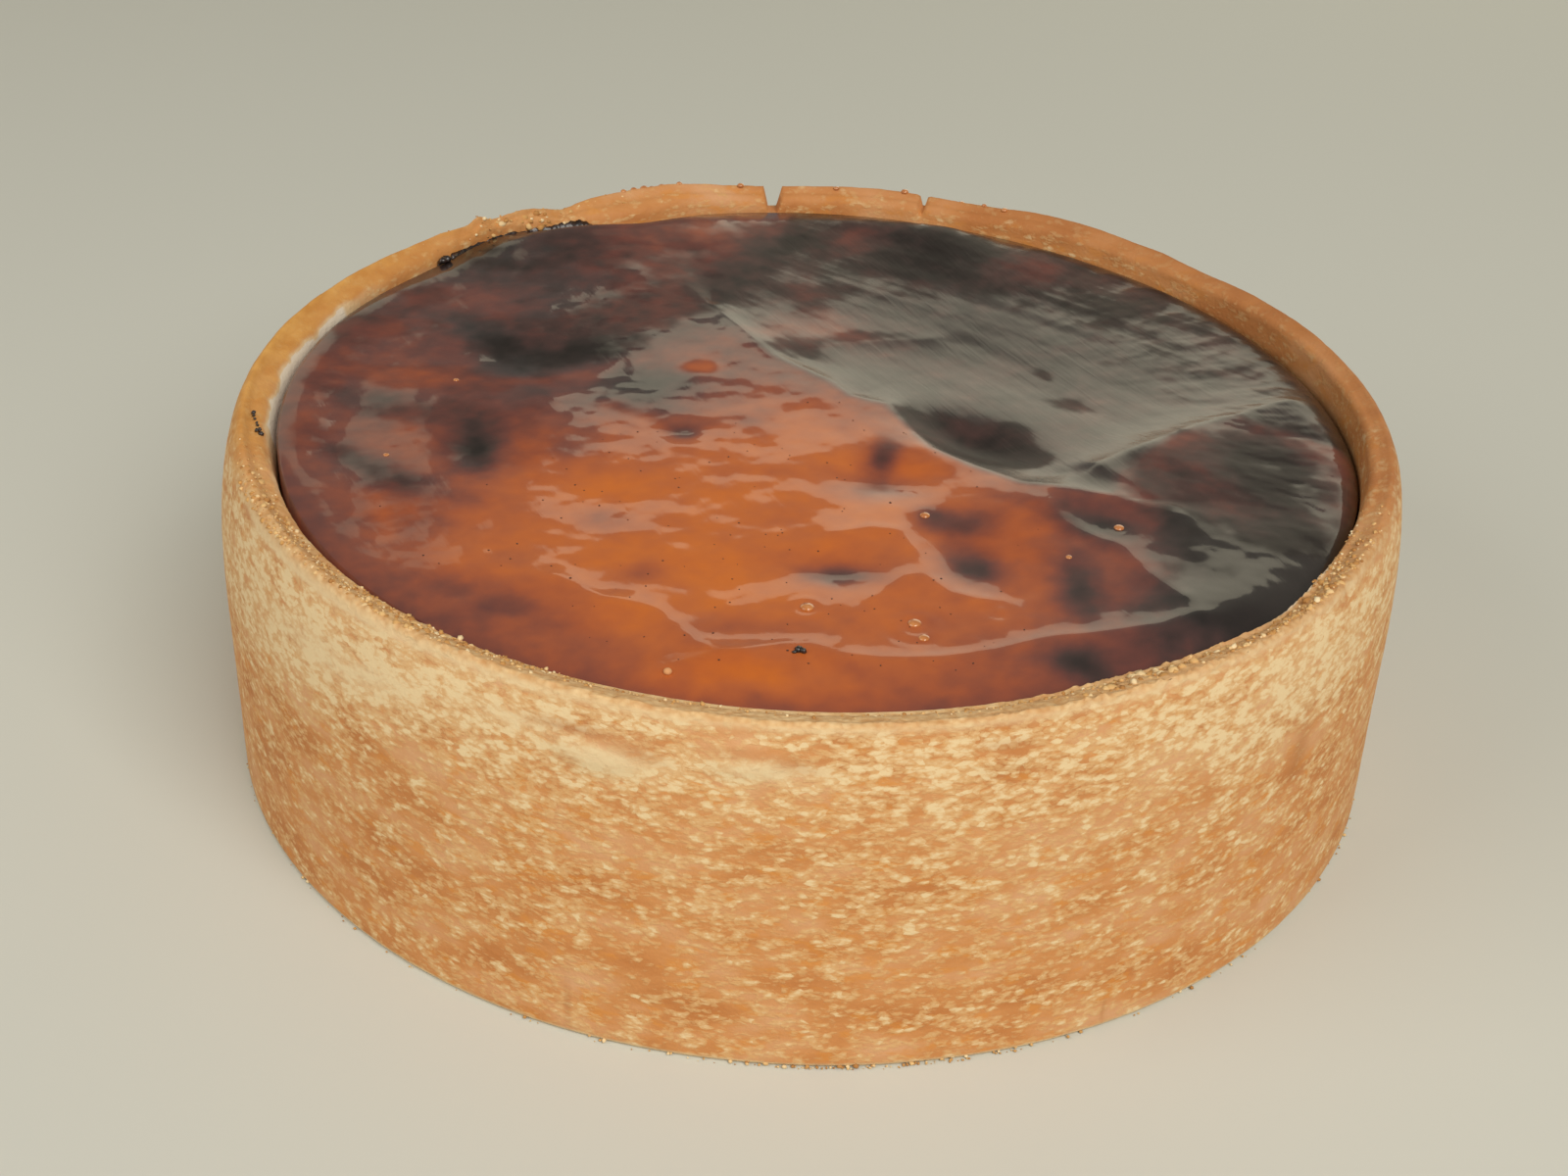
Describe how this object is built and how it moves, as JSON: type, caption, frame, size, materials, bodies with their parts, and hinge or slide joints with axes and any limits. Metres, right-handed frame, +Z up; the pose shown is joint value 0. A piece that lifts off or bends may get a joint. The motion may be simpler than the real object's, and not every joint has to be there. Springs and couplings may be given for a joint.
{
  "type": "custard flan",
  "caption": "Deep round custard flan: a straight-sided baked pastry case with an uneven, split rim, filled nearly to the top with set custard that has a browned, wavy, glazed skin.",
  "frame": {"origin": "centre of the flat base of the pastry case", "axes": "+Z up through the middle of the flan, -Y towards the side that the picture shows at the front"},
  "size_m": [0.1982, 0.1981, 0.0624],
  "materials": {
    "baked_pastry": "matt golden-brown shortcrust with paler flecks",
    "browned_custard": "dark amber to nearly black browned skin under a clear glossy glaze"
  },
  "bodies": {
    "root": {"pastry_case": "baked_pastry", "custard_filling": "browned_custard"}
  },
  "joints": []
}
